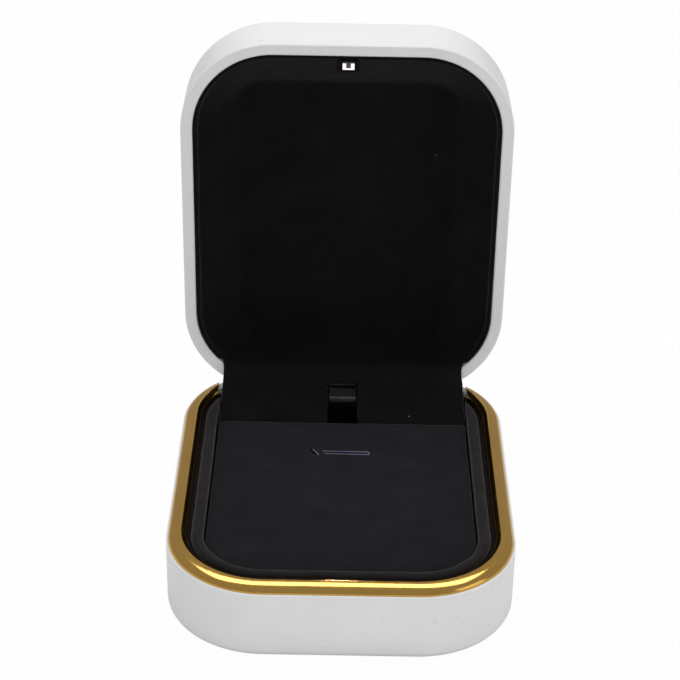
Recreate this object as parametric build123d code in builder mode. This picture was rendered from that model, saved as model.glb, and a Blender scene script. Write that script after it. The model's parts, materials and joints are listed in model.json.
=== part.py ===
from build123d import *
import os
from math import atan2, cos, hypot, sin

os.makedirs("parts", exist_ok=True)

# A hinged jewellery case for a necklace, standing open. Sizes are in millimetres.
# The origin is the middle of the base's underside, +Y runs to the hinge and +Z is up.
lid_width = 85.0
body_depth = 100.0
corner_radius = 23.7
lid_overhang = 1.1
base_height = 17.9
base_wall = 2.2
floor_thickness = 2.0
bottom_round = 2.4
edge_round = 0.3

# The lid shell, measured from its rim plane.
lid_depth = 17.8
lid_wall = 3.0
lid_top = 2.2
lid_round = 2.4
rim_chamfer = 0.3

# The plated trim ring on the base's edge, as insets from the outside.
ring_inset = 0.4
ring_crown = 2.0
ring_crown_inset = 3.6
ring_reach = 4.8
ring_lip_drop = 0.9
ring_lip = 1.6
skirt_depth = 3.7
skirt_thickness = 1.0
ring_end_gap = 0.9
ring_seam = 1.0

# The velvet band round the well, and the frame under it.
groove_width = 1.1
liner_width = 3.0
liner_height = 1.8
liner_round = 1.1
frame_wall = 1.2

# The lift-out insert: a card box with a padded top.
pad_drop = 2.2
pad_thickness = 2.4
pad_round = 0.8
card_thickness = 1.2
slit_from_rear = 15.3
slit_length = 14.4
slit_width = 0.7
relief_length = 3.2
relief_angle = 55.0

# The hinge: where the lid stands when open, and its knuckles and pin.
fit_gap = 0.3
open_gap = 0.3
open_drop = 5.6
closing_gap = 0.2
pin_radius = 1.0
pin_clearance = 0.04
knuckle_radius = 2.2
knuckle_width = 6.0
barrel_half = 14.7
sweep_clearance = 0.2
notch_beyond = 3.5
plate_thickness = 1.5
leaf_length = 10.3

# Screws of the hinge and the spring.
boss_height = 3.0
foot_length = 9.4
hinge_room = 0.7
screw_radius = 0.9
screw_clearance = 0.05
screw_grip = 2.0
head_radius = 1.7
head_height = 0.9
base_screw_x = 14.0
lid_screw_x = 9.0

# The leaf spring that snaps the lid over.
spring_width = 7.0
spring_thickness = 0.4
spring_bead = 0.9
spring_bend = 1.2
bead_before_axis = 2.25
bead_above_axis = 2.45

# The velvet flap over the hinge.
flap_thickness = 0.8
flap_lift = 1.6
flap_slope = 2.5
flap_end_depth = 7.2
window_half = 3.8
window_end_back = 4.2

# The velvet tray in the lid, with its sloped sides.
skin = 1.2
liner_recess = 0.6
liner_flange = 1.2
ceiling_depth = 11.0
ceiling_side = 14.7
ceiling_front = 14.3
ceiling_rear = 12.7
ceiling_radius = 6.0

# The lamp, its board, the switch and the cells behind the tray.
lamp_width = 3.0
lamp_height = 3.5
lamp_stroke = 0.9
lamp_proud = 0.5
lamp_share = 0.253
bezel_border = 1.1
bezel_proud = 0.25
bezel_depth = 1.6
board_width = 14.0
board_below = 8.55
board_above = 1.95
board_thickness = 1.0
switch_radius = 1.1
switch_length = 10.0
switch_below = 4.05
magnet_width = 10.0
magnet_depth = 3.0
magnet_height = 3.0
cell_radius = 10.0
cell_thickness = 1.6
cell_round = 0.2
cell_x = 11.0
tray_border = 1.4
tray_floor = 0.7
tray_above_middle = 13.5
contact_thickness = 0.3
contact_width = 4.0
wire_radius = 0.4
wire_x = 3.0
wire_bend = 2.0
wire_from_edge = 1.0

# Places that follow from the sizes above.
body_width = lid_width - 2 * lid_overhang
half_width = body_width / 2
half_depth = body_depth / 2
ring_top = base_height + ring_crown
ledge_top = ring_top - ring_lip_drop - ring_lip
ledge_bottom = ledge_top - frame_wall
liner_outer = ring_reach + groove_width
liner_inner = liner_outer + liner_width
liner_top = ledge_top + liner_height
pad_top = liner_top - pad_drop
pad_bottom = pad_top - pad_thickness
insert_inset = liner_inner + fit_gap
closed_rim_z = ring_top + closing_gap
open_rim_y = half_depth + open_gap
open_low_z = base_height - open_drop
hinge_y = (open_rim_y + half_depth - closed_rim_z + open_low_z) / 2
hinge_z = hinge_y + closed_rim_z - open_rim_y
bore_radius = pin_radius + pin_clearance
hinge_half = barrel_half + fit_gap + knuckle_width
tongue_thickness = half_depth - hinge_y - knuckle_radius - fit_gap
tongue_length = closed_rim_z - open_low_z
sweep_radius = hypot(half_depth - hinge_y, closed_rim_z - hinge_z) + sweep_clearance
leg_y = hinge_y - sweep_radius - fit_gap - plate_thickness
foot_z = floor_thickness + boss_height
foot_top = foot_z + plate_thickness
base_screw_y = leg_y - foot_length / 2
leaf_z = open_low_z + lid_wall
leaf_top = leaf_z + plate_thickness
lid_screw_y = open_rim_y + leaf_length / 2
lid_back = open_rim_y + lid_depth - lid_top
partition_y = leg_y - foot_length - hinge_room - frame_wall
pad_rear_y = partition_y - fit_gap
slit_y = pad_rear_y - slit_from_rear
notch_half = hinge_half + notch_beyond
flap_half = half_width - liner_inner - fit_gap
ring_gap_half = flap_half + ring_end_gap
lid_plane = Plane(origin=(0, open_rim_y, open_low_z + half_depth), x_dir=(-1, 0, 0), z_dir=(0, 1, 0))
tray_start = liner_recess + liner_flange
tray_width = lid_width - 2 * lid_wall
tray_depth = body_depth - 2 * lid_wall
tray_radius = corner_radius - lid_wall
ceiling_width = lid_width - 2 * ceiling_side
ceiling_length = body_depth - ceiling_front - ceiling_rear
ceiling_shift = (ceiling_rear - ceiling_front) / 2

# The base: a tub with thick walls, a boss for the hinge and a scoop where the lid's tongue swings.
with BuildPart() as base_shell:
    with BuildSketch():
        RectangleRounded(body_width, body_depth, corner_radius)
    extrude(amount=base_height)
    fillet(base_shell.edges().group_by(Axis.Z)[0], bottom_round)
    fillet(base_shell.edges().group_by(Axis.Z)[-1], edge_round)
    with BuildSketch(Plane.XY.offset(floor_thickness)):
        RectangleRounded(body_width - 2 * base_wall, body_depth - 2 * base_wall, corner_radius - base_wall)
    extrude(amount=base_height - floor_thickness, mode=Mode.SUBTRACT)
    with BuildSketch(Plane.XY.offset(floor_thickness)):
        with Locations((0, leg_y + (plate_thickness - foot_length) / 2)):
            Rectangle(2 * hinge_half, foot_length + plate_thickness)
    extrude(amount=boss_height)
    with BuildSketch(Plane.XY.offset(foot_z - screw_grip)):
        with Locations((-base_screw_x, base_screw_y), (0, base_screw_y), (base_screw_x, base_screw_y)):
            Circle(screw_radius + screw_clearance)
    extrude(amount=screw_grip, mode=Mode.SUBTRACT)
    with BuildSketch(Plane.YZ.offset(-notch_half)):
        with Locations((hinge_y, hinge_z)):
            Circle(sweep_radius)
    extrude(amount=2 * notch_half, mode=Mode.SUBTRACT)
base_shell.part.label = "base_shell"
export_step(base_shell.part, "parts/base_shell.step")

# The ring is swept round the base's outline and left open where the lid swings.
with BuildPart() as trim_ring:
    with BuildLine():
        FilletPolyline(
            (-ring_seam, half_depth),
            (-half_width, half_depth),
            (-half_width, -half_depth),
            (half_width, -half_depth),
            (half_width, half_depth),
            (ring_seam, half_depth),
            radius=corner_radius,
        )
    with BuildSketch(Plane.YZ.offset(-ring_seam)):
        with BuildLine():
            EllipticalCenterArc(
                (half_depth - ring_crown_inset, base_height),
                ring_crown_inset - ring_inset,
                ring_crown,
                start_angle=0,
                arc_size=90,
            )
            TangentArc(
                (half_depth - ring_crown_inset, ring_top),
                (half_depth - ring_reach, ring_top - ring_lip_drop),
                tangent=(-1, 0),
            )
            Polyline(
                (half_depth - ring_reach, ring_top - ring_lip_drop),
                (half_depth - ring_reach, ledge_top),
                (half_depth - base_wall - skirt_thickness, ledge_top),
                (half_depth - base_wall - skirt_thickness, base_height - skirt_depth),
                (half_depth - base_wall, base_height - skirt_depth),
                (half_depth - base_wall, base_height),
                (half_depth - ring_inset, base_height),
            )
        make_face()
    sweep()
    with BuildSketch(Plane.XY):
        with Locations((0, half_depth)):
            Rectangle(2 * ring_gap_half, half_depth)
    extrude(amount=2 * ring_top, mode=Mode.SUBTRACT)
trim_ring.part.label = "trim_ring"
export_step(trim_ring.part, "parts/trim_ring.step")

# The well's frame: a ledge under the ring's lip, a wall down to the floor and a partition before the hinge.
with BuildPart() as well_frame:
    frame_inset = base_wall + skirt_thickness + fit_gap
    with BuildSketch(Plane.XY.offset(ledge_bottom)):
        RectangleRounded(body_width - 2 * frame_inset, body_depth - 2 * frame_inset, corner_radius - frame_inset)
    extrude(amount=frame_wall)
    wall_inset = liner_inner - frame_wall
    with BuildSketch(Plane.XY.offset(floor_thickness)):
        RectangleRounded(body_width - 2 * wall_inset, body_depth - 2 * wall_inset, corner_radius - wall_inset)
    extrude(amount=ledge_bottom - floor_thickness)
    with BuildSketch(Plane.XY.offset(floor_thickness)):
        RectangleRounded(body_width - 2 * liner_inner, body_depth - 2 * liner_inner, corner_radius - liner_inner)
    extrude(amount=ledge_top - floor_thickness, mode=Mode.SUBTRACT)
    with BuildSketch(Plane.XY.offset(floor_thickness)):
        with Locations((0, partition_y)):
            Rectangle(body_width - 2 * liner_inner, half_depth, align=(Align.CENTER, Align.MIN))
    extrude(amount=ledge_top - floor_thickness, mode=Mode.SUBTRACT)
    with BuildSketch(Plane.XY.offset(floor_thickness)):
        with Locations((0, partition_y)):
            Rectangle(body_width - 2 * liner_inner, frame_wall, align=(Align.CENTER, Align.MIN))
    extrude(amount=pad_bottom - floor_thickness)
well_frame.part.label = "well_frame"
export_step(well_frame.part, "parts/well_frame.step")

# The velvet band: a padded roll on the frame's ledge, open towards the hinge.
with BuildPart() as base_liner:
    with BuildSketch(Plane.XY.offset(ledge_top)):
        RectangleRounded(body_width - 2 * liner_outer, body_depth - 2 * liner_outer, corner_radius - liner_outer)
        RectangleRounded(
            body_width - 2 * liner_inner,
            body_depth - 2 * liner_inner,
            corner_radius - liner_inner,
            mode=Mode.SUBTRACT,
        )
    extrude(amount=liner_height)
    fillet(base_liner.edges().group_by(Axis.Z)[-1], liner_round)
    with BuildSketch(Plane.XY.offset(ledge_top)):
        with Locations((0, partition_y)):
            Rectangle(body_width - 2 * liner_inner, half_depth, align=(Align.CENTER, Align.MIN))
    extrude(amount=liner_height, mode=Mode.SUBTRACT)
base_liner.part.label = "base_liner"
export_step(base_liner.part, "parts/base_liner.step")

# The base's half of the hinge: two knuckles on arms, a bridge, a leg and a foot on the boss.
with BuildPart() as base_hinge_bracket:
    with BuildSketch(Plane.YZ.offset(-hinge_half)):
        with BuildLine():
            Polyline(
                (leg_y - foot_length, foot_z),
                (leg_y + plate_thickness, foot_z),
                (leg_y + plate_thickness, hinge_z - plate_thickness / 2),
                (hinge_y, hinge_z - plate_thickness / 2),
                (hinge_y, hinge_z + plate_thickness / 2),
                (leg_y, hinge_z + plate_thickness / 2),
                (leg_y, foot_top),
                (leg_y - foot_length, foot_top),
                close=True,
            )
        make_face()
    extrude(amount=2 * hinge_half)
    with BuildSketch(Plane.YZ.offset(-hinge_half)):
        with Locations((hinge_y, hinge_z)):
            Circle(knuckle_radius)
    extrude(amount=2 * hinge_half)
    with BuildSketch(Plane.YZ.offset(-barrel_half - fit_gap)):
        with Locations((hinge_y - knuckle_radius - 2 * fit_gap, hinge_z)):
            Rectangle(3 * knuckle_radius, 3 * knuckle_radius, align=(Align.MIN, Align.CENTER))
    extrude(amount=2 * (barrel_half + fit_gap), mode=Mode.SUBTRACT)
    with BuildSketch(Plane.YZ.offset(-hinge_half)):
        with Locations((hinge_y, hinge_z)):
            Circle(bore_radius)
    extrude(amount=2 * hinge_half, mode=Mode.SUBTRACT)
    with BuildSketch(Plane.XY.offset(foot_z)):
        with Locations((-base_screw_x, base_screw_y), (0, base_screw_y), (base_screw_x, base_screw_y)):
            Circle(screw_radius + screw_clearance)
    extrude(amount=plate_thickness, mode=Mode.SUBTRACT)
base_hinge_bracket.part.label = "base_hinge_bracket"
export_step(base_hinge_bracket.part, "parts/base_hinge_bracket.step")

with BuildPart() as base_hinge_screws:
    with BuildSketch(Plane.XY.offset(foot_z - screw_grip)):
        with Locations((-base_screw_x, base_screw_y), (base_screw_x, base_screw_y)):
            Circle(screw_radius)
    extrude(amount=screw_grip + plate_thickness)
    with BuildSketch(Plane.XY.offset(foot_top)):
        with Locations((-base_screw_x, base_screw_y), (base_screw_x, base_screw_y)):
            Circle(head_radius)
    extrude(amount=head_height)
    fillet(base_hinge_screws.edges().group_by(Axis.Z)[-1], head_height / 2)
base_hinge_screws.part.label = "base_hinge_screws"
export_step(base_hinge_screws.part, "parts/base_hinge_screws.step")

with BuildPart() as hinge_pin:
    with BuildSketch(Plane.YZ.offset(-hinge_half)):
        with Locations((hinge_y, hinge_z)):
            Circle(pin_radius)
    extrude(amount=2 * hinge_half)
hinge_pin.part.label = "hinge_pin"
export_step(hinge_pin.part, "parts/hinge_pin.step")

# The snap spring: a steel strip from the foot, up past the leg and over to a bead beside the barrel.
spring_z = foot_top + spring_thickness / 2
spring_y = leg_y - fit_gap - spring_thickness
bead_y = hinge_y - bead_before_axis
bead_z = hinge_z + bead_above_axis
with BuildPart() as snap_spring:
    with BuildSketch(Plane.YZ.offset(-spring_width / 2)):
        with BuildLine():
            FilletPolyline(
                (leg_y - foot_length + spring_thickness, spring_z),
                (spring_y, spring_z),
                (spring_y, bead_z - spring_bend),
                (bead_y, bead_z),
                radius=spring_bend,
            )
        trace(line_width=spring_thickness)
        with Locations((bead_y, bead_z)):
            Circle(spring_bead)
    extrude(amount=spring_width)
    with BuildSketch(Plane.XY.offset(foot_top)):
        with Locations((0, base_screw_y)):
            Circle(screw_radius + screw_clearance)
    extrude(amount=spring_thickness, mode=Mode.SUBTRACT)
snap_spring.part.label = "snap_spring"
export_step(snap_spring.part, "parts/snap_spring.step")

with BuildPart() as spring_screw:
    with BuildSketch(Plane.XY.offset(foot_z - screw_grip)):
        with Locations((0, base_screw_y)):
            Circle(screw_radius)
    extrude(amount=screw_grip + plate_thickness + spring_thickness)
    with BuildSketch(Plane.XY.offset(foot_top + spring_thickness)):
        with Locations((0, base_screw_y)):
            Circle(head_radius)
    extrude(amount=head_height)
    fillet(spring_screw.edges().group_by(Axis.Z)[-1], head_height / 2)
spring_screw.part.label = "spring_screw"
export_step(spring_screw.part, "parts/spring_screw.step")

with BuildPart() as switch_magnet:
    with BuildSketch(Plane.XY.offset(ledge_bottom - magnet_height)):
        with Locations((0, -half_depth + liner_inner - frame_wall)):
            Rectangle(magnet_width, magnet_depth, align=(Align.CENTER, Align.MAX))
    extrude(amount=magnet_height)
switch_magnet.part.label = "switch_magnet"
export_step(switch_magnet.part, "parts/switch_magnet.step")

# The flap rises from the partition over the knuckles and into the lid, with a window for the spring.
flap_front_z = pad_bottom + fit_gap
flap_hinge_z = hinge_z + knuckle_radius + flap_lift
flap_end_y = open_rim_y + flap_end_depth
window_end_y = hinge_y - window_end_back
with BuildPart() as hinge_flap:
    with BuildSketch(Plane.YZ.offset(-flap_half)):
        with BuildLine():
            Polyline(
                (partition_y, flap_front_z),
                (hinge_y - knuckle_radius, flap_hinge_z),
                (hinge_y + fit_gap, flap_hinge_z + fit_gap),
                (flap_end_y, flap_hinge_z + flap_slope + fit_gap),
                (flap_end_y, flap_hinge_z + flap_slope + fit_gap + flap_thickness),
                (hinge_y + fit_gap, flap_hinge_z + fit_gap + flap_thickness),
                (hinge_y - knuckle_radius, flap_hinge_z + flap_thickness),
                (partition_y, flap_front_z + flap_thickness),
                close=True,
            )
        make_face()
    extrude(amount=2 * flap_half)
    with BuildSketch(Plane.XY):
        with Locations((0, window_end_y)):
            Rectangle(2 * window_half, window_end_y, align=(Align.CENTER, Align.MAX))
    extrude(amount=2 * base_height, mode=Mode.SUBTRACT)
hinge_flap.part.label = "hinge_flap"
export_step(hinge_flap.part, "parts/hinge_flap.step")

# The insert's outline keeps a gap to the well all round, and is square at the back.
with BuildSketch(mode=Mode.PRIVATE) as insert_outline:
    with Locations((0, pad_rear_y)):
        Rectangle(
            body_width - 2 * insert_inset,
            half_depth + pad_rear_y - insert_inset,
            align=(Align.CENTER, Align.MAX),
        )
    fillet(insert_outline.vertices().group_by(Axis.Y)[0], corner_radius - insert_inset)

with BuildSketch(mode=Mode.PRIVATE) as chain_slit:
    with Locations((0, slit_y)):
        Rectangle(slit_length, slit_width)
    with Locations((-slit_length / 2, slit_y)):
        Rectangle(relief_length, slit_width, rotation=-relief_angle)
    with Locations((slit_length / 2, slit_y)):
        Rectangle(relief_length / 2, slit_width, rotation=relief_angle)

with BuildPart() as insert_card:
    with BuildSketch(Plane.XY.offset(floor_thickness)):
        add(insert_outline.sketch)
    extrude(amount=pad_bottom - floor_thickness)
    with BuildSketch(Plane.XY.offset(floor_thickness)):
        add(insert_outline.sketch)
        offset(amount=-card_thickness)
    extrude(amount=pad_bottom - card_thickness - floor_thickness, mode=Mode.SUBTRACT)
    with BuildSketch(Plane.XY.offset(floor_thickness)):
        add(chain_slit.sketch)
    extrude(amount=pad_bottom - floor_thickness, mode=Mode.SUBTRACT)
insert_card.part.label = "insert_card"
export_step(insert_card.part, "parts/insert_card.step")

with BuildPart() as display_pad:
    with BuildSketch(Plane.XY.offset(pad_bottom)):
        add(insert_outline.sketch)
    extrude(amount=pad_thickness)
    fillet(display_pad.edges().group_by(Axis.Z)[-1], pad_round)
    with BuildSketch(Plane.XY.offset(pad_bottom)):
        add(chain_slit.sketch)
    extrude(amount=pad_thickness, mode=Mode.SUBTRACT)
display_pad.part.label = "display_pad"
export_step(display_pad.part, "parts/display_pad.step")

# The lid: a deep shell like the base, with a thin tongue that fills the base's notch when closed.
with BuildPart() as lid_shell:
    with BuildSketch(lid_plane):
        RectangleRounded(lid_width, body_depth, corner_radius)
    extrude(amount=lid_depth)
    fillet(lid_shell.edges().group_by(Axis.Y)[-1], lid_round)
    with BuildSketch(lid_plane):
        RectangleRounded(tray_width, tray_depth, tray_radius)
    extrude(amount=lid_depth - lid_top, mode=Mode.SUBTRACT)
    chamfer(lid_shell.edges().group_by(Axis.Y)[0], rim_chamfer)
    with BuildSketch(lid_plane.offset(-tongue_length)):
        RectangleRounded(lid_width, body_depth, corner_radius)
        with Locations((0, -half_depth)):
            Rectangle(
                2 * (notch_half - fit_gap),
                tongue_thickness,
                align=(Align.CENTER, Align.MIN),
                mode=Mode.INTERSECT,
            )
    extrude(amount=tongue_length + 2 * rim_chamfer)
    with BuildSketch(Plane.XY.offset(leaf_z - screw_grip)):
        with Locations((-lid_screw_x, lid_screw_y), (lid_screw_x, lid_screw_y)):
            Circle(screw_radius + screw_clearance)
    extrude(amount=screw_grip, mode=Mode.SUBTRACT)
lid_shell.part.label = "lid_shell"
export_step(lid_shell.part, "parts/lid_shell.step")

# The lid's half of the hinge: a barrel between the knuckles and a plate on the lid's rear wall.
with BuildPart() as lid_hinge_leaf:
    with BuildSketch(Plane.YZ.offset(-barrel_half)):
        with Locations((hinge_y, hinge_z)):
            Circle(knuckle_radius)
        with Locations((hinge_y, leaf_z)):
            Rectangle(
                open_rim_y + leaf_length - hinge_y,
                plate_thickness,
                align=(Align.MIN, Align.MIN),
            )
        with Locations((hinge_y, hinge_z)):
            Circle(bore_radius, mode=Mode.SUBTRACT)
    extrude(amount=2 * barrel_half)
    with BuildSketch(Plane.XY.offset(leaf_z)):
        with Locations((-lid_screw_x, lid_screw_y), (lid_screw_x, lid_screw_y)):
            Circle(screw_radius + screw_clearance)
    extrude(amount=plate_thickness, mode=Mode.SUBTRACT)
lid_hinge_leaf.part.label = "lid_hinge_leaf"
export_step(lid_hinge_leaf.part, "parts/lid_hinge_leaf.step")

with BuildPart() as lid_hinge_screws:
    with BuildSketch(Plane.XY.offset(leaf_z - screw_grip)):
        with Locations((-lid_screw_x, lid_screw_y), (lid_screw_x, lid_screw_y)):
            Circle(screw_radius)
    extrude(amount=screw_grip + plate_thickness)
    with BuildSketch(Plane.XY.offset(leaf_top)):
        with Locations((-lid_screw_x, lid_screw_y), (lid_screw_x, lid_screw_y)):
            Circle(head_radius)
    extrude(amount=head_height)
    fillet(lid_hinge_screws.edges().group_by(Axis.Z)[-1], head_height / 2)
lid_hinge_screws.part.label = "lid_hinge_screws"
export_step(lid_hinge_screws.part, "parts/lid_hinge_screws.step")

# The sloping front side of the tray carries the lamp: its plane's normal points into the lid's hollow.
slope_run = ceiling_depth - tray_start
slope_drop = ceiling_front - lid_wall - skin
slope_angle = atan2(slope_drop, slope_run)
lamp_y = open_rim_y + tray_start + lamp_share * slope_run
lamp_z = open_low_z + body_depth - lid_wall - skin - lamp_share * slope_drop
lamp_plane = Plane(
    origin=(0, lamp_y, lamp_z),
    x_dir=(1, 0, 0),
    z_dir=(0, -sin(slope_angle), -cos(slope_angle)),
)
bezel_width = lamp_width + 2 * bezel_border
bezel_height = lamp_height + 2 * bezel_border

with BuildPart() as lid_liner:
    with BuildSketch(lid_plane.offset(liner_recess)):
        RectangleRounded(tray_width, tray_depth, tray_radius)
    extrude(amount=liner_flange)
    with BuildSketch(lid_plane.offset(tray_start)):
        RectangleRounded(tray_width, tray_depth, tray_radius)
    with BuildSketch(lid_plane.offset(ceiling_depth + skin)):
        with Locations((0, ceiling_shift)):
            RectangleRounded(ceiling_width + 2 * skin, ceiling_length + 2 * skin, ceiling_radius + skin)
    loft(ruled=True)
    with BuildSketch(lid_plane.offset(liner_recess)):
        RectangleRounded(tray_width - 2 * skin, tray_depth - 2 * skin, tray_radius - skin)
    extrude(amount=liner_flange, mode=Mode.SUBTRACT)
    with BuildSketch(lid_plane.offset(tray_start)):
        RectangleRounded(tray_width - 2 * skin, tray_depth - 2 * skin, tray_radius - skin)
    with BuildSketch(lid_plane.offset(ceiling_depth)):
        with Locations((0, ceiling_shift)):
            RectangleRounded(ceiling_width, ceiling_length, ceiling_radius)
    loft(ruled=True, mode=Mode.SUBTRACT)
    with BuildSketch(Plane.XY):
        with Locations((0, open_rim_y)):
            Rectangle(
                2 * (flap_half + fit_gap),
                flap_end_depth + fit_gap,
                align=(Align.CENTER, Align.MIN),
            )
    extrude(amount=open_low_z + half_depth / 2, mode=Mode.SUBTRACT)
    with BuildSketch(lamp_plane.offset(-2 * skin)):
        Rectangle(bezel_width + fit_gap, bezel_height + fit_gap)
    extrude(amount=4 * skin, mode=Mode.SUBTRACT)
lid_liner.part.label = "lid_liner"
export_step(lid_liner.part, "parts/lid_liner.step")

with BuildPart() as led_bezel:
    with BuildSketch(lamp_plane.offset(-bezel_depth)):
        Rectangle(bezel_width, bezel_height)
        Rectangle(lamp_width + fit_gap, lamp_height + fit_gap, mode=Mode.SUBTRACT)
    extrude(amount=bezel_depth + bezel_proud)
led_bezel.part.label = "led_bezel"
export_step(led_bezel.part, "parts/led_bezel.step")

with BuildPart() as led_lamp:
    with BuildSketch(lamp_plane.offset(-bezel_depth)):
        Rectangle(lamp_width, lamp_height)
        with Locations((0, lamp_height / 2)):
            Rectangle(
                lamp_width - 2 * lamp_stroke,
                lamp_height - lamp_stroke,
                align=(Align.CENTER, Align.MAX),
                mode=Mode.SUBTRACT,
            )
    extrude(amount=bezel_depth + lamp_proud)
led_lamp.part.label = "led_lamp"
export_step(led_lamp.part, "parts/led_lamp.step")

with BuildPart() as led_board:
    with BuildSketch(lamp_plane.offset(-bezel_depth - board_thickness)):
        with Locations((0, board_above)):
            Rectangle(board_width, board_above + board_below, align=(Align.CENTER, Align.MAX))
    extrude(amount=board_thickness)
led_board.part.label = "led_board"
export_step(led_board.part, "parts/led_board.step")

with BuildPart() as reed_switch:
    switch_depth = bezel_depth + board_thickness + switch_radius
    switch_middle = lamp_plane.from_local_coords(Vector(-switch_length / 2, -switch_below, -switch_depth))
    with BuildSketch(Plane(origin=switch_middle, z_dir=(1, 0, 0))):
        Circle(switch_radius)
    extrude(amount=switch_length)
reed_switch.part.label = "reed_switch"
export_step(reed_switch.part, "parts/reed_switch.step")

# Two flat cells lie in a shallow tray glued inside the lid's top, under two contact strips.
cell_z = open_low_z + half_depth + tray_above_middle
cell_front = lid_back - tray_floor - cell_thickness
with BuildPart() as battery_tray:
    with BuildSketch(lid_plane.offset(cell_front - open_rim_y - contact_thickness)):
        with Locations((0, tray_above_middle)):
            Rectangle(2 * (cell_x + cell_radius + tray_border), 2 * (cell_radius + tray_border))
    extrude(amount=contact_thickness + cell_thickness + tray_floor)
    with BuildSketch(lid_plane.offset(cell_front - open_rim_y - contact_thickness)):
        with Locations((-cell_x, tray_above_middle), (cell_x, tray_above_middle)):
            Circle(cell_radius + fit_gap)
    extrude(amount=contact_thickness + cell_thickness, mode=Mode.SUBTRACT)
battery_tray.part.label = "battery_tray"
export_step(battery_tray.part, "parts/battery_tray.step")

with BuildPart() as battery_cells:
    with BuildSketch(lid_plane.offset(cell_front - open_rim_y)):
        with Locations((-cell_x, tray_above_middle), (cell_x, tray_above_middle)):
            Circle(cell_radius)
    extrude(amount=cell_thickness)
    fillet(battery_cells.edges().group_by(Axis.Y)[0], cell_round)
battery_cells.part.label = "battery_cells"
export_step(battery_cells.part, "parts/battery_cells.step")

with BuildPart() as battery_contacts:
    with BuildSketch(lid_plane.offset(cell_front - open_rim_y - contact_thickness)):
        with Locations((-cell_x, tray_above_middle), (cell_x, tray_above_middle)):
            Rectangle(contact_width, 2 * cell_radius)
    extrude(amount=contact_thickness)
battery_contacts.part.label = "battery_contacts"
export_step(battery_contacts.part, "parts/battery_contacts.step")

# Two wires run from the back of the board to the cells' tray.
wire_start = lamp_plane.from_local_coords(
    Vector(0, wire_from_edge - board_below, -bezel_depth - board_thickness - wire_radius)
)
wire_y = lid_back - wire_radius - fit_gap
wire_end_z = cell_z + cell_radius + tray_border
with BuildPart() as led_wires:
    for side in (-wire_x, wire_x):
        with BuildLine() as wire_route:
            FilletPolyline(
                (side, wire_start.Y, wire_start.Z),
                (side, wire_y, wire_start.Z - (wire_y - wire_start.Y)),
                (side, wire_y, wire_end_z),
                radius=wire_bend,
            )
        with BuildSketch(Plane(origin=wire_route.line @ 0, z_dir=wire_route.line % 0)):
            Circle(wire_radius)
        sweep()
led_wires.part.label = "led_wires"
export_step(led_wires.part, "parts/led_wires.step")
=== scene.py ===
import json
from math import cos, pi, radians, sin

import bmesh
import bpy
import numpy as np
from mathutils import Matrix, Vector, noise


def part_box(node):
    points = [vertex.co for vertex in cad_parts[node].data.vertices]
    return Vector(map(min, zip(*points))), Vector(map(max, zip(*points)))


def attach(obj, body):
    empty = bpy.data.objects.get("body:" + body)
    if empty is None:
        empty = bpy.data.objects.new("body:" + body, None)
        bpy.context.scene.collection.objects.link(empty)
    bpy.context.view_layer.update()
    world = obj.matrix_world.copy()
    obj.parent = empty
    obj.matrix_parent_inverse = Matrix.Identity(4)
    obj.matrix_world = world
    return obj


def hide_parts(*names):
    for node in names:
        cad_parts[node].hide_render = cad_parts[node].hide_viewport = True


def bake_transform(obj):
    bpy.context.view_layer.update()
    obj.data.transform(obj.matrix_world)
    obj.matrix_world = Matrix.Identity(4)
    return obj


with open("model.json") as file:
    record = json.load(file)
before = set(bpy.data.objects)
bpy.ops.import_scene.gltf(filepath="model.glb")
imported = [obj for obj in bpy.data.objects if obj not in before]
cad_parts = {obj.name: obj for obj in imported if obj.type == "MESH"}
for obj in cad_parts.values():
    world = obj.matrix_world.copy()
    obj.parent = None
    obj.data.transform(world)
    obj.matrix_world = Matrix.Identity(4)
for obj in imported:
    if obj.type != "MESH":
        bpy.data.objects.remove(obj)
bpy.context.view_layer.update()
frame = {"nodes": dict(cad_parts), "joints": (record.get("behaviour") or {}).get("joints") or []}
nodes = frame["nodes"]
MM = 0.001

# The lamp sits on the slope of the tray and points this way at rest.
lamp_direction = (0.0, -0.739, -0.673)

# The photograph's viewpoint, from a camera fitted to the case's outlines.
picture_width = 680
focal_pixels = 1881.83
sensor_width = 36.0
camera_elevation = radians(29.06)
camera_yaw = radians(-0.14)
camera_roll = radians(1.05)
camera_distance = 0.4501
camera_target = Vector((-0.00102, 0, 0.05652))


def add_object(name, data):
    thing = bpy.data.objects.new(name, data)
    bpy.context.scene.collection.objects.link(thing)
    return thing


def make_camera():
    back = Vector((sin(camera_yaw) * cos(camera_elevation),
                   -cos(camera_yaw) * cos(camera_elevation),
                   sin(camera_elevation)))
    level = Vector((0, 0, 1)).cross(back).normalized()
    upright = back.cross(level)
    right = level * cos(camera_roll) + upright * sin(camera_roll)
    up = upright * cos(camera_roll) - level * sin(camera_roll)
    data = bpy.data.cameras.new("camera")
    data.sensor_width = sensor_width
    data.lens = focal_pixels / picture_width * sensor_width
    data.clip_start = 0.01
    camera = add_object("camera", data)
    turn = Matrix((right, up, back)).transposed().to_4x4()
    camera.matrix_world = Matrix.Translation(camera_target + back * camera_distance) @ turn
    bpy.context.scene.camera = camera


make_camera()
bpy.context.scene.view_settings.view_transform = "Standard"


# Materials. Each has its own colour variation and relief.
# The colour sockets of a mix node share their names with its other sockets, so they go by number.
mix_colour_a = 6
mix_colour_b = 7
mix_colour_out = 2


def new_material(name):
    material = bpy.data.materials.new(name)
    material.use_nodes = True
    tree = material.node_tree
    shader = tree.nodes["Principled BSDF"]
    return material, tree, shader


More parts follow.
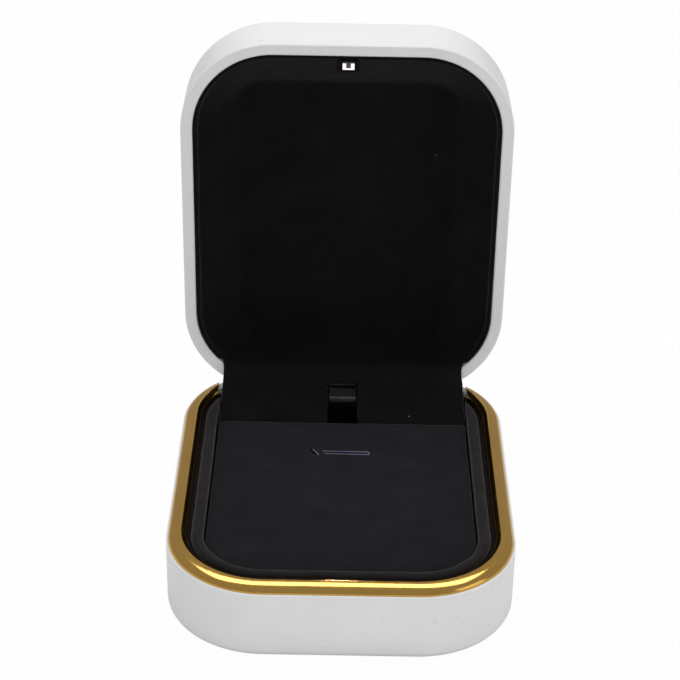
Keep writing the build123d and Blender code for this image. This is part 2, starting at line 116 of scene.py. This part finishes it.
def add_noise(tree, scale, detail=3.0, roughness=0.55, stretch=(1, 1, 1)):
    where = tree.nodes.new("ShaderNodeTexCoord")
    mapping = tree.nodes.new("ShaderNodeMapping")
    mapping.inputs["Scale"].default_value = stretch
    texture = tree.nodes.new("ShaderNodeTexNoise")
    texture.inputs["Scale"].default_value = scale
    texture.inputs["Detail"].default_value = detail
    texture.inputs["Roughness"].default_value = roughness
    tree.links.new(where.outputs["Object"], mapping.inputs["Vector"])
    tree.links.new(mapping.outputs["Vector"], texture.inputs["Vector"])
    return texture


def add_ramp(tree, source, low, high, start=0.3, end=0.7):
    ramp = tree.nodes.new("ShaderNodeValToRGB")
    ramp.color_ramp.elements[0].position = start
    ramp.color_ramp.elements[1].position = end
    ramp.color_ramp.elements[0].color = (*low, 1)
    ramp.color_ramp.elements[1].color = (*high, 1)
    tree.links.new(source, ramp.inputs["Fac"])
    return ramp.outputs["Color"]


def grey(value):
    return (value, value, value)


def add_bump(tree, shader, source, distance, strength, before=None):
    bump = tree.nodes.new("ShaderNodeBump")
    bump.inputs["Distance"].default_value = distance
    bump.inputs["Strength"].default_value = strength
    tree.links.new(source, bump.inputs["Height"])
    if before is not None:
        tree.links.new(before, bump.inputs["Normal"])
    tree.links.new(bump.outputs["Normal"], shader.inputs["Normal"])
    return bump.outputs["Normal"]


def make_lacquer():
    """Sprayed white lacquer: satin, with faint orange peel and a breath of dust."""
    material, tree, shader = new_material("white_lacquer")
    cloud = add_noise(tree, scale=60, detail=4)
    tone = add_ramp(tree, cloud.outputs["Fac"], (0.80, 0.805, 0.81), (0.84, 0.845, 0.85))
    tree.links.new(tone, shader.inputs["Base Color"])
    gloss = add_noise(tree, scale=220, detail=3)
    tree.links.new(add_ramp(tree, gloss.outputs["Fac"], grey(0.27), grey(0.36)), shader.inputs["Roughness"])
    peel = add_noise(tree, scale=1400, detail=2)
    add_bump(tree, shader, peel.outputs["Fac"], distance=0.00004, strength=0.35)
    shader.inputs["Coat Weight"].default_value = 0.25
    shader.inputs["Coat Roughness"].default_value = 0.12
    return material


def make_gold():
    """Bright gold plating with fine polishing lines and slight tarnish."""
    material, tree, shader = new_material("gold_plating")
    cloud = add_noise(tree, scale=90, detail=3)
    tone = add_ramp(tree, cloud.outputs["Fac"], (0.62, 0.362, 0.088), (0.66, 0.40, 0.102))
    tree.links.new(tone, shader.inputs["Base Color"])
    smear = add_noise(tree, scale=400, detail=4, stretch=(1, 1, 6))
    tree.links.new(add_ramp(tree, smear.outputs["Fac"], grey(0.10), grey(0.19)), shader.inputs["Roughness"])
    add_bump(tree, shader, smear.outputs["Fac"], distance=0.00001, strength=0.25)
    shader.inputs["Metallic"].default_value = 1.0
    return material


def make_velvet(name, dark, light, sheen, tint):
    """Short-pile velvet: a dark ground, a soft sheen, brushed patches, pile grain and stray lint."""
    material, tree, shader = new_material(name)
    patches = add_noise(tree, scale=110, detail=4, roughness=0.6)
    ground = add_ramp(tree, patches.outputs["Fac"], dark, light, start=0.35, end=0.68)
    lint = tree.nodes.new("ShaderNodeTexVoronoi")
    lint.inputs["Scale"].default_value = 190
    where = tree.nodes.new("ShaderNodeTexCoord")
    tree.links.new(where.outputs["Object"], lint.inputs["Vector"])
    speck = add_ramp(tree, lint.outputs["Distance"], grey(1), grey(0), start=0.035, end=0.05)
    rare = add_noise(tree, scale=45, detail=1)
    chosen = add_ramp(tree, rare.outputs["Fac"], grey(0), grey(1), start=0.62, end=0.66)
    both = tree.nodes.new("ShaderNodeMath")
    both.operation = "MULTIPLY"
    tree.links.new(speck, both.inputs[0])
    tree.links.new(chosen, both.inputs[1])
    mix = tree.nodes.new("ShaderNodeMix")
    mix.data_type = "RGBA"
    tree.links.new(both.outputs[0], mix.inputs["Factor"])
    tree.links.new(ground, mix.inputs[mix_colour_a])
    mix.inputs[mix_colour_b].default_value = (0.16, 0.16, 0.17, 1)
    tree.links.new(mix.outputs[mix_colour_out], shader.inputs["Base Color"])
    shader.inputs["Roughness"].default_value = 0.95
    shader.inputs["Specular IOR Level"].default_value = 0.12
    shader.inputs["Sheen Weight"].default_value = sheen
    shader.inputs["Sheen Roughness"].default_value = 0.42
    shader.inputs["Sheen Tint"].default_value = (*tint, 1)
    pile = add_noise(tree, scale=2600, detail=3, roughness=0.7)
    brushed = add_noise(tree, scale=260, detail=3, roughness=0.6)
    first = add_bump(tree, shader, brushed.outputs["Fac"], distance=0.0004, strength=0.25)
    add_bump(tree, shader, pile.outputs["Fac"], distance=0.00025, strength=0.6, before=first)
    return material


def make_plain(name, low, high, roughness, metallic=0.0, scale=300, relief=0.15, gloss=0.5):
    """Moulded, painted or plated stock with a little colour variation and grain."""
    material, tree, shader = new_material(name)
    cloud = add_noise(tree, scale, detail=4)
    tree.links.new(add_ramp(tree, cloud.outputs["Fac"], low, high), shader.inputs["Base Color"])
    grain = add_noise(tree, scale * 6, detail=2)
    tree.links.new(add_ramp(tree, grain.outputs["Fac"], grey(roughness * 0.85), grey(roughness * 1.15)),
                   shader.inputs["Roughness"])
    shader.inputs["Metallic"].default_value = metallic
    shader.inputs["Specular IOR Level"].default_value = gloss
    add_bump(tree, shader, grain.outputs["Fac"], distance=0.00003, strength=relief)
    return material


def make_brushed_steel():
    """Nickel-plated steel with rolling lines along its length."""
    material, tree, shader = new_material("plated_steel")
    lines = add_noise(tree, scale=900, detail=3, stretch=(0.08, 1, 1))
    tree.links.new(add_ramp(tree, lines.outputs["Fac"], grey(0.42), grey(0.58)), shader.inputs["Base Color"])
    tree.links.new(add_ramp(tree, lines.outputs["Fac"], grey(0.2), grey(0.34)), shader.inputs["Roughness"])
    add_bump(tree, shader, lines.outputs["Fac"], distance=0.00002, strength=0.3)
    shader.inputs["Metallic"].default_value = 1.0
    return material


def make_lamp():
    """The lit light guide: its end face shines near white with violet edges, and its sides stay dim."""
    material, tree, shader = new_material("lit_lamp")
    glow = add_noise(tree, scale=900, detail=2)
    tone = add_ramp(tree, glow.outputs["Fac"], (0.78, 0.66, 1.0), (1.0, 0.94, 0.90), start=0.35, end=0.55)
    tree.links.new(tone, shader.inputs["Emission Color"])
    shader.inputs["Base Color"].default_value = (0.06, 0.05, 0.08, 1)
    facing = tree.nodes.new("ShaderNodeVectorMath")
    facing.operation = "DOT_PRODUCT"
    geometry = tree.nodes.new("ShaderNodeNewGeometry")
    tree.links.new(geometry.outputs["True Normal"], facing.inputs[0])
    facing.inputs[1].default_value = lamp_direction
    strength = tree.nodes.new("ShaderNodeMapRange")
    strength.inputs["From Min"].default_value = 0.5
    strength.inputs["To Min"].default_value = 0.06
    strength.inputs["To Max"].default_value = 1.15
    tree.links.new(facing.outputs["Value"], strength.inputs["Value"])
    tree.links.new(strength.outputs["Result"], shader.inputs["Emission Strength"])
    shader.inputs["Roughness"].default_value = 0.3
    return material


def make_switch_glass():
    """The switch's pale green glass tube."""
    material, tree, shader = new_material("switch_glass")
    cloud = add_noise(tree, scale=500, detail=2)
    tone = add_ramp(tree, cloud.outputs["Fac"], (0.62, 0.78, 0.70), (0.72, 0.86, 0.80))
    tree.links.new(tone, shader.inputs["Base Color"])
    shader.inputs["Roughness"].default_value = 0.08
    shader.inputs["Transmission Weight"].default_value = 0.6
    return material


lacquer = make_lacquer()
gold = make_gold()
steel = make_brushed_steel()
# The pad's black velvet carries a slight blue-violet cast in its colour and sheen tint: painted light from
# the lamp above it.
pad_velvet_painted_violet = make_velvet(
    "pad_velvet_painted_violet", (0.0050, 0.0050, 0.0060), (0.0082, 0.0081, 0.0096), sheen=0.13, tint=(0.85, 0.83, 1.0))
band_velvet = make_velvet(
    "band_velvet", (0.0072, 0.0062, 0.0062), (0.0115, 0.0100, 0.0102), sheen=0.17, tint=(1.0, 0.95, 0.97))
lid_velvet = make_velvet(
    "lid_velvet", (0.0038, 0.0036, 0.0037), (0.0062, 0.0059, 0.0061), sheen=0.10, tint=(1.0, 0.97, 0.97))
# The lips' pale violet velvet is a painted highlight: the lamp's light on the slit's folded edges.
lip_painted_highlight = make_velvet(
    "lip_painted_highlight", (0.11, 0.10, 0.165), (0.17, 0.15, 0.24), sheen=0.5, tint=(0.8, 0.75, 1.0))
# The flap's velvet is darker and has less sheen than the rest: painted shade under the hinge and the lid.
flap_velvet_painted_shade = make_velvet(
    "flap_velvet_painted_shade", (0.0031, 0.0029, 0.0031), (0.0050, 0.0047, 0.0050), sheen=0.055, tint=(1.0, 0.97, 1.0))
black_plastic = make_plain(
    "black_plastic", (0.008, 0.006, 0.006), (0.012, 0.009, 0.009), roughness=0.85, gloss=0.08)
spring_steel = make_plain("spring_steel", grey(0.035), grey(0.055), roughness=0.45, metallic=1.0)
black_paint = make_plain("black_paint", grey(0.009), grey(0.014), roughness=0.4)
black_card = make_plain("black_card", grey(0.012), grey(0.02), roughness=0.8, relief=0.3)
magnet_metal = make_plain("magnet_metal", grey(0.5), grey(0.58), roughness=0.25, metallic=1.0)
laminate = make_plain("board_laminate", (0.012, 0.11, 0.035), (0.02, 0.15, 0.05), roughness=0.45)
contact_metal = make_plain(
    "contact_metal", (0.62, 0.42, 0.15), (0.70, 0.5, 0.2), roughness=0.28, metallic=1.0)
wire_jacket = make_plain("wire_jacket", (0.35, 0.02, 0.02), (0.45, 0.03, 0.03), roughness=0.4)
lamp_light = make_lamp()
switch_glass = make_switch_glass()

finishes = {
    "base_shell": lacquer,
    "lid_shell": lacquer,
    "trim_ring": gold,
    "well_frame": black_plastic,
    "base_hinge_bracket": black_paint,
    "lid_hinge_leaf": black_paint,
    "base_hinge_screws": steel,
    "lid_hinge_screws": steel,
    "spring_screw": steel,
    "hinge_pin": steel,
    "snap_spring": spring_steel,
    "switch_magnet": magnet_metal,
    "insert_card": black_card,
    "led_bezel": black_plastic,
    "led_lamp": lamp_light,
    "led_board": laminate,
    "reed_switch": switch_glass,
    "battery_tray": black_plastic,
    "battery_cells": steel,
    "battery_contacts": contact_metal,
    "led_wires": wire_jacket,
}
for name, material in finishes.items():
    nodes[name].data.materials.clear()
    nodes[name].data.materials.append(material)


# Soft pieces. The pad and the band start from their solids, and the tray and the flap are modelled here.
cloth_voxel = 0.30 * MM
weld_distance = 0.005 * MM


def apply_modifiers(piece):
    bpy.context.view_layer.update()
    shape = piece.evaluated_get(bpy.context.evaluated_depsgraph_get())
    mesh = bpy.data.meshes.new_from_object(shape)
    piece.modifiers.clear()
    piece.data = mesh


def soft_copy(name, node, material, smoothing):
    """A remeshed and softened copy of a solid, dressed in its cloth."""
    piece = add_object(name, nodes[node].data.copy())
    weld = piece.modifiers.new("weld", "WELD")
    weld.merge_threshold = weld_distance
    remesh = piece.modifiers.new("remesh", "REMESH")
    remesh.mode = "VOXEL"
    remesh.voxel_size = cloth_voxel
    smooth = piece.modifiers.new("smooth", "SMOOTH")
    smooth.factor = 0.5
    smooth.iterations = smoothing
    apply_modifiers(piece)
    finish_cloth(piece, material)
    return piece


def finish_cloth(piece, material):
    piece.data.materials.clear()
    piece.data.materials.append(material)
    for face in piece.data.polygons:
        face.use_smooth = True
        face.material_index = 0


def read_points(piece):
    """The points and their outward normals, each as an array of rows."""
    count = len(piece.data.vertices)
    points = np.empty(count * 3)
    normals = np.empty(count * 3)
    piece.data.vertices.foreach_get("co", points)
    piece.data.vertex_normals.foreach_get("vector", normals)
    return points.reshape(count, 3), normals.reshape(count, 3)


def write_points(piece, points):
    piece.data.vertices.foreach_set("co", points.ravel())
    piece.data.update()


def relief(piece, wave, depth, only_top=False):
    """Moves each point along its normal by smooth noise of the given wavelength and depth."""
    points, normals = read_points(piece)
    height = np.array([noise.noise(Vector(point)) for point in points / wave])
    if only_top:
        height[normals[:, 2] < top_facing] = 0
    write_points(piece, points + normals * (height * depth)[:, None])


def drop_loose(mesh):
    loose = [v for v in mesh.verts if not v.link_faces]
    bmesh.ops.delete(mesh, geom=loose, context="VERTS")


def middle_of(corner_points):
    return sum((v.co for v in corner_points), Vector()) / len(corner_points)


# The pad: crowned a little, with soft edges. The lips along its slit are pieces of their own.
pad_low, pad_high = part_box("display_pad")
pad_middle = (pad_low + pad_high) / 2
pad_crown = 0.25 * MM
# This share of the crown is taken off again, so that the pad's mean height stays about the same.
crown_settling = 0.6
# Points whose normal rises more than this belong to the top.
top_facing = 0.2


def make_pad():
    pad = soft_copy("pad_cushion", "display_pad", pad_velvet_painted_violet, smoothing=3)
    half = (pad_high - pad_low) / 2
    points, normals = read_points(pad)
    across = np.abs(points[:, 0] - pad_middle.x) / half.x
    along = np.abs(points[:, 1] - pad_middle.y) / half.y
    bulge = np.clip(1 - across ** 4, 0, 1) * np.clip(1 - along ** 4, 0, 1)
    points[:, 2] += np.where(normals[:, 2] > top_facing, pad_crown * (bulge - crown_settling), 0)
    write_points(pad, points)
    relief(pad, wave=9 * MM, depth=0.12 * MM, only_top=True)
    relief(pad, wave=1.4 * MM, depth=0.03 * MM)
    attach(pad, "insert")
    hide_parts("display_pad")


# The slit's lips: a thin loop along the folded edge of the cloth, open at its left end. Their pale violet
# colour is a painted highlight, the lamp's light caught on the edge.
slit_from_rear = 15.3 * MM
slit_y = pad_high.y - slit_from_rear
lip_left = -4.9 * MM
lip_right = 6.4 * MM
lip_offset = 0.62 * MM
lip_radius = 0.17 * MM
# The near lip starts this much further right than the far one.
lip_stagger = 0.5 * MM
relief_lip_share = 0.8


def pad_point(x, y):
    return Vector((x, y, pad_high.z))


def make_slit_lips():
    path = [pad_point(lip_left, slit_y + lip_offset), pad_point(lip_right, slit_y + lip_offset)]
    turn_steps = 12
    for k in range(1, turn_steps):
        angle = pi / 2 - pi * k / turn_steps
        path.append(pad_point(lip_right + lip_offset * cos(angle), slit_y + lip_offset * sin(angle)))
    path.append(pad_point(lip_right, slit_y - lip_offset))
    path.append(pad_point(lip_left + lip_stagger, slit_y - lip_offset))
    relief_cut = [
        pad_point(-7.4 * MM, slit_y + 1.5 * MM),
        pad_point(-6.6 * MM, slit_y + 0.3 * MM),
        pad_point(-5.9 * MM, slit_y - 1.1 * MM),
    ]
    lips = [
        ("slit_lips", path, lip_radius),
        ("slit_relief_lip", relief_cut, lip_radius * relief_lip_share),
    ]
    for name, points, width in lips:
        curve = bpy.data.curves.new(name, "CURVE")
        curve.dimensions = "3D"
        curve.bevel_depth = width
        curve.bevel_resolution = 3
        curve.use_fill_caps = True
        spline = curve.splines.new("POLY")
        spline.points.add(len(points) - 1)
        for point, place in zip(spline.points, points):
            point.co = (*place, 1)
        shape = add_object(name, curve)
        bpy.context.view_layer.update()
        mesh = bpy.data.meshes.new_from_object(shape.evaluated_get(bpy.context.evaluated_depsgraph_get()))
        bpy.data.objects.remove(shape)
        lip = add_object(name, mesh)
        finish_cloth(lip, lip_painted_highlight)
        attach(lip, "insert")


# The band round the well: a narrow velvet roll.
def make_band():
    band = soft_copy("well_band", "base_liner", band_velvet, smoothing=4)
    relief(band, wave=6 * MM, depth=0.10 * MM)
    relief(band, wave=1.2 * MM, depth=0.04 * MM)
    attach(band, "base")
    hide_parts("base_liner")


# The lid's tray: velvet over sloped card. A run of rounded outlines goes from the rim down to the ceiling.
tray_skin = 1.2 * MM
tray_corner = 20.7 * MM
flange_depth = 1.2 * MM
ceiling_side = 11.7 * MM
ceiling_front = 11.3 * MM
ceiling_rear = 9.7 * MM
ceiling_corner = 6.0 * MM
edge_forward = 0.3 * MM
fold_margin = 1.5 * MM
# The cloth that shows takes this share of the skin.
tray_cloth_share = 0.8
# The rolled edge, as shares of the way inward from the wall and down the flange.
edge_roll = [(0.04, 0.22), (0.2, 0.05), (0.5, 0.0), (0.8, 0.06), (1.0, 0.4)]
# Under the flap, below this height and inside this half width, the tray is cut away for the hinge.
flap_line = 21.4 * MM
flap_cut_half = 32.5 * MM
bezel_low, bezel_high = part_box("led_bezel")
# The tray fills the lid's shell inside its wall, a little behind the rim.
lid_wall = 3.0 * MM
liner_recess = 0.6 * MM
shell_low, shell_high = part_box("lid_shell")
tray_low, tray_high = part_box("lid_liner")
tray_low.z = shell_low.z + lid_wall
tray_high.z = shell_high.z - lid_wall


def rounded_outline(half, low, high, radius):
    """Points round a rounded rectangle that is centred on x and runs from low to high in z."""
    side_steps = 36
    corner_steps = 14
    corners = [
        (half - radius, high - radius, 0),
        (radius - half, high - radius, 90),
        (radius - half, low + radius, 180),
        (half - radius, low + radius, 270),
    ]
    turned = []
    for x, z, start in corners:
        for k in range(corner_steps + 1):
            angle = radians(start + 90 * k / corner_steps)
            turned.append((x + radius * cos(angle), z + radius * sin(angle), k == corner_steps))
    points = []
    for i, (x, z, last) in enumerate(turned):
        points.append((x, z))
        if last:
            next_x, next_z, _ = turned[(i + 1) % len(turned)]
            for k in range(1, side_steps):
                share = k / side_steps
                points.append((x + (next_x - x) * share, z + (next_z - z) * share))
    return points


def make_tray():
    low, high = tray_low, tray_high
    half = high.x - tray_skin
    bottom = low.z + tray_skin
    top = high.z - tray_skin
    radius = tray_corner - tray_skin
    slope_y = low.y + flange_depth
    ceiling_y = high.y - tray_skin
    ceiling_half = high.x - ceiling_side
    ceiling_bottom = low.z + ceiling_rear
    ceiling_top = high.z - ceiling_front
    outlines = []
    for inward, forward in edge_roll:
        reach = tray_skin * (1 - inward)
        outlines.append((low.y - edge_forward + flange_depth * forward,
                         rounded_outline(half + reach, bottom - reach, top + reach, radius + reach)))
    slope_steps = 12
    for k in range(slope_steps + 1):
        t = k / slope_steps
        outlines.append((slope_y + (ceiling_y - slope_y) * t, rounded_outline(
            half + (ceiling_half - half) * t,
            bottom + (ceiling_bottom - bottom) * t,
            top + (ceiling_top - top) * t,
            radius + (ceiling_corner - radius) * t)))
    middle = (ceiling_bottom + ceiling_top) / 2
    inward_steps = 26
    edge = rounded_outline(ceiling_half, ceiling_bottom, ceiling_top, ceiling_corner)
    for k in range(1, inward_steps):
        shrink = 1 - k / inward_steps
        outlines.append((ceiling_y, [(x * shrink, middle + (z - middle) * shrink) for x, z in edge]))
    mesh = bmesh.new()
    rows = [[mesh.verts.new((x, y, z)) for x, z in outline] for y, outline in outlines]
    for outer, inner in zip(rows, rows[1:]):
        for i in range(len(outer)):
            j = (i + 1) % len(outer)
            corner_points = (outer[i], outer[j], inner[j], inner[i])
            centre = middle_of(corner_points)
            under_flap = abs(centre.x) < flap_cut_half and centre.z < flap_line
            at_lamp = abs(centre.x) < bezel_high.x and bezel_low.z < centre.z < bezel_high.z
            if not under_flap and not at_lamp:
                mesh.faces.new(corner_points)
    mesh.faces.new(rows[-1])
    drop_loose(mesh)
    bmesh.ops.recalc_face_normals(mesh, faces=mesh.faces)
    mesh.faces.ensure_lookup_table()
    if mesh.faces[-1].normal.y > 0:
        bmesh.ops.reverse_faces(mesh, faces=mesh.faces)
    data = bpy.data.meshes.new("lid_tray")
    mesh.to_mesh(data)
    mesh.free()
    tray = add_object("lid_tray", data)
    inner = tray.vertex_groups.new(name="folds")
    inner.add([v.index for v in data.vertices if v.co.y > slope_y + fold_margin], 1.0, "REPLACE")
    soften = tray.modifiers.new("soften", "SMOOTH")
    soften.vertex_group = "folds"
    soften.factor = 0.5
    soften.iterations = 5
    thicken = tray.modifiers.new("thicken", "SOLIDIFY")
    thicken.thickness = tray_skin * tray_cloth_share
    thicken.offset = -1
    rounding = tray.modifiers.new("rounding", "SUBSURF")
    rounding.levels = 1
    apply_modifiers(tray)
    finish_cloth(tray, lid_velvet)
    relief(tray, wave=14 * MM, depth=0.15 * MM)
    relief(tray, wave=2.2 * MM, depth=0.07 * MM)
    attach(tray, "lid")
    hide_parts("lid_liner")


# The flap: one strip of velvet from behind the pad, over the hinge and into the lid.
flap_low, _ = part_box("hinge_flap")
hinge = next(j for j in frame["joints"] if j["name"] == "lid_hinge")
hinge_y, hinge_z = hinge["pos_m"][1], hinge["pos_m"][2]
window_half = 3.8 * MM
window_end = hinge_y - 4.2 * MM
flap_cloth = 0.5 * MM
flap_sag = 0.25 * MM
edge_droop = 0.35 * MM
edge_sharpness = 10


def curve_through(points, steps):
    """A smooth curve through the points, as a Catmull-Rom spline with the given steps a span."""
    ends = [points[0] * 2 - points[1]] + points + [points[-1] * 2 - points[-2]]
    curve = []
    for i in range(len(points) - 1):
        p0, p1, p2, p3 = ends[i:i + 4]
        for k in range(steps):
            t = k / steps
            curve.append(0.5 * (2 * p1 + (p2 - p0) * t + (2 * p0 - 5 * p1 + 4 * p2 - p3) * t * t
                                + (3 * p1 - p0 - 3 * p2 + p3) * t ** 3))
    curve.append(points[-1])
    return curve


def make_flap():
    rim_y = tray_low.y - liner_recess
    ceiling_foot_y = tray_high.y - tray_skin
    ceiling_foot_z = tray_low.z + ceiling_rear
    # Each station holds half the width, then y and z.
    stations = [
        Vector((31.8 * MM, flap_low.y + 0.2 * MM, flap_low.z + 0.2 * MM)),
        Vector((32.0 * MM, flap_low.y + 7.0 * MM, flap_low.z + 2.5 * MM)),
        Vector((32.2 * MM, hinge_y - 4.6 * MM, hinge_z + 3.9 * MM)),
        Vector((32.2 * MM, hinge_y, hinge_z + 4.6 * MM)),
        Vector((32.3 * MM, rim_y - 0.3 * MM, hinge_z + 5.0 * MM)),
        Vector((32.8 * MM, rim_y + 1.8 * MM, hinge_z + 5.6 * MM)),
        Vector((32.6 * MM, rim_y + 5.0 * MM, hinge_z + 6.9 * MM)),
        Vector((30.0 * MM, ceiling_foot_y - 2.0 * MM, ceiling_foot_z - 0.6 * MM)),
        Vector((27.0 * MM, ceiling_foot_y - 0.1 * MM, ceiling_foot_z + 1.2 * MM)),
    ]
    line = curve_through(stations, steps=10)
    columns = 96
    mesh = bmesh.new()
    rows = []
    for half, y, z in line:
        row = []
        for i in range(columns + 1):
            share = 2 * i / columns - 1
            droop = edge_droop * abs(share) ** edge_sharpness
            sag = flap_sag * (1 - share * share)
            row.append(mesh.verts.new((share * half, y, z - sag - droop)))
        rows.append(row)
    for lower, upper in zip(rows, rows[1:]):
        for i in range(columns):
            corner_points = (lower[i], lower[i + 1], upper[i + 1], upper[i])
            centre = middle_of(corner_points)
            if abs(centre.x) >= window_half or centre.y >= window_end:
                mesh.faces.new(corner_points)
    drop_loose(mesh)
    data = bpy.data.meshes.new("flap_cloth")
    mesh.to_mesh(data)
    mesh.free()
    flap = add_object("flap_cloth", data)
    solid = flap.modifiers.new("thickness", "SOLIDIFY")
    solid.thickness = flap_cloth
    solid.offset = 0
    rounding = flap.modifiers.new("rounding", "SUBSURF")
    rounding.levels = 1
    apply_modifiers(flap)
    finish_cloth(flap, flap_velvet_painted_shade)
    relief(flap, wave=7 * MM, depth=0.18 * MM)
    relief(flap, wave=1.4 * MM, depth=0.03 * MM)
    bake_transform(flap)
    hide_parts("hinge_flap")


make_pad()
make_slit_lips()
make_band()
make_tray()
make_flap()


# The stage: a pale floor that shows white to the camera and keeps a faint shadow.
def make_stage():
    reach = 3.0
    white_share = 0.97
    corners = [(-reach, -reach, 0), (reach, -reach, 0), (reach, reach, 0), (-reach, reach, 0)]
    data = bpy.data.meshes.new("floor")
    data.from_pydata(corners, [], [(0, 1, 2, 3)])
    floor = add_object("floor", data)
    material = bpy.data.materials.new("pale_floor")
    material.use_nodes = True
    tree = material.node_tree
    shader = tree.nodes["Principled BSDF"]
    shader.inputs["Base Color"].default_value = (0.80, 0.80, 0.80, 1)
    shader.inputs["Roughness"].default_value = 0.9
    white = tree.nodes.new("ShaderNodeEmission")
    white.inputs["Strength"].default_value = 1.0
    path = tree.nodes.new("ShaderNodeLightPath")
    share = tree.nodes.new("ShaderNodeMath")
    share.operation = "MULTIPLY"
    share.inputs[1].default_value = white_share
    tree.links.new(path.outputs["Is Camera Ray"], share.inputs[0])
    mix = tree.nodes.new("ShaderNodeMixShader")
    tree.links.new(share.outputs[0], mix.inputs["Fac"])
    tree.links.new(shader.outputs[0], mix.inputs[1])
    tree.links.new(white.outputs[0], mix.inputs[2])
    tree.links.new(mix.outputs[0], tree.nodes["Material Output"].inputs["Surface"])
    data.materials.append(material)


def make_world():
    world = bpy.data.worlds.new("studio")
    world.use_nodes = True
    bpy.context.scene.world = world
    tree = world.node_tree
    plain = tree.nodes["Background"]
    plain.inputs["Color"].default_value = (1, 1, 1, 1)
    plain.inputs["Strength"].default_value = 0.40
    seen = tree.nodes.new("ShaderNodeBackground")
    seen.inputs["Strength"].default_value = 1.0
    path = tree.nodes.new("ShaderNodeLightPath")
    mix = tree.nodes.new("ShaderNodeMixShader")
    tree.links.new(path.outputs["Is Camera Ray"], mix.inputs["Fac"])
    tree.links.new(plain.outputs[0], mix.inputs[1])
    tree.links.new(seen.outputs[0], mix.inputs[2])
    tree.links.new(mix.outputs[0], tree.nodes["World Output"].inputs["Surface"])


def add_softbox(name, where, aim, width, height, power):
    data = bpy.data.lights.new(name, "AREA")
    data.shape = "RECTANGLE"
    data.size = width
    data.size_y = height
    data.energy = power
    light = add_object(name, data)
    light.location = where
    light.rotation_euler = (Vector(aim) - Vector(where)).to_track_quat("-Z", "Y").to_euler()
    return light


make_stage()
make_world()
add_softbox("overhead", (0.0, 0.16, 0.62), (0, 0, 0.03), width=0.7, height=0.3, power=2.5)
front_fill = add_softbox("front_fill", (-0.05, -0.75, 0.45), (0, 0, 0.05), width=0.5, height=0.5, power=1.45)
front_fill.visible_glossy = False
add_softbox("right_fill", (0.62, -0.35, 0.22), (0, 0.03, 0.06), width=0.4, height=0.4, power=0.45)


def add_lamp_glow():
    """The lamp's own faint violet light on the pad."""
    lamp_low, lamp_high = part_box("led_lamp")
    glow = bpy.data.lights.new("lamp_glow", "SPOT")
    glow.energy = 0.012
    glow.color = (0.72, 0.66, 1.0)
    glow.spot_size = radians(110)
    glow.shadow_soft_size = 1.5 * MM
    glow_light = add_object("lamp_glow", glow)
    glow_light.location = (lamp_low + lamp_high) / 2 + Vector((0, -2.0 * MM, -1.5 * MM))
    glow_light.rotation_euler = (pad_middle - glow_light.location).to_track_quat("-Z", "Y").to_euler()
    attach(glow_light, "lid")


add_lamp_glow()
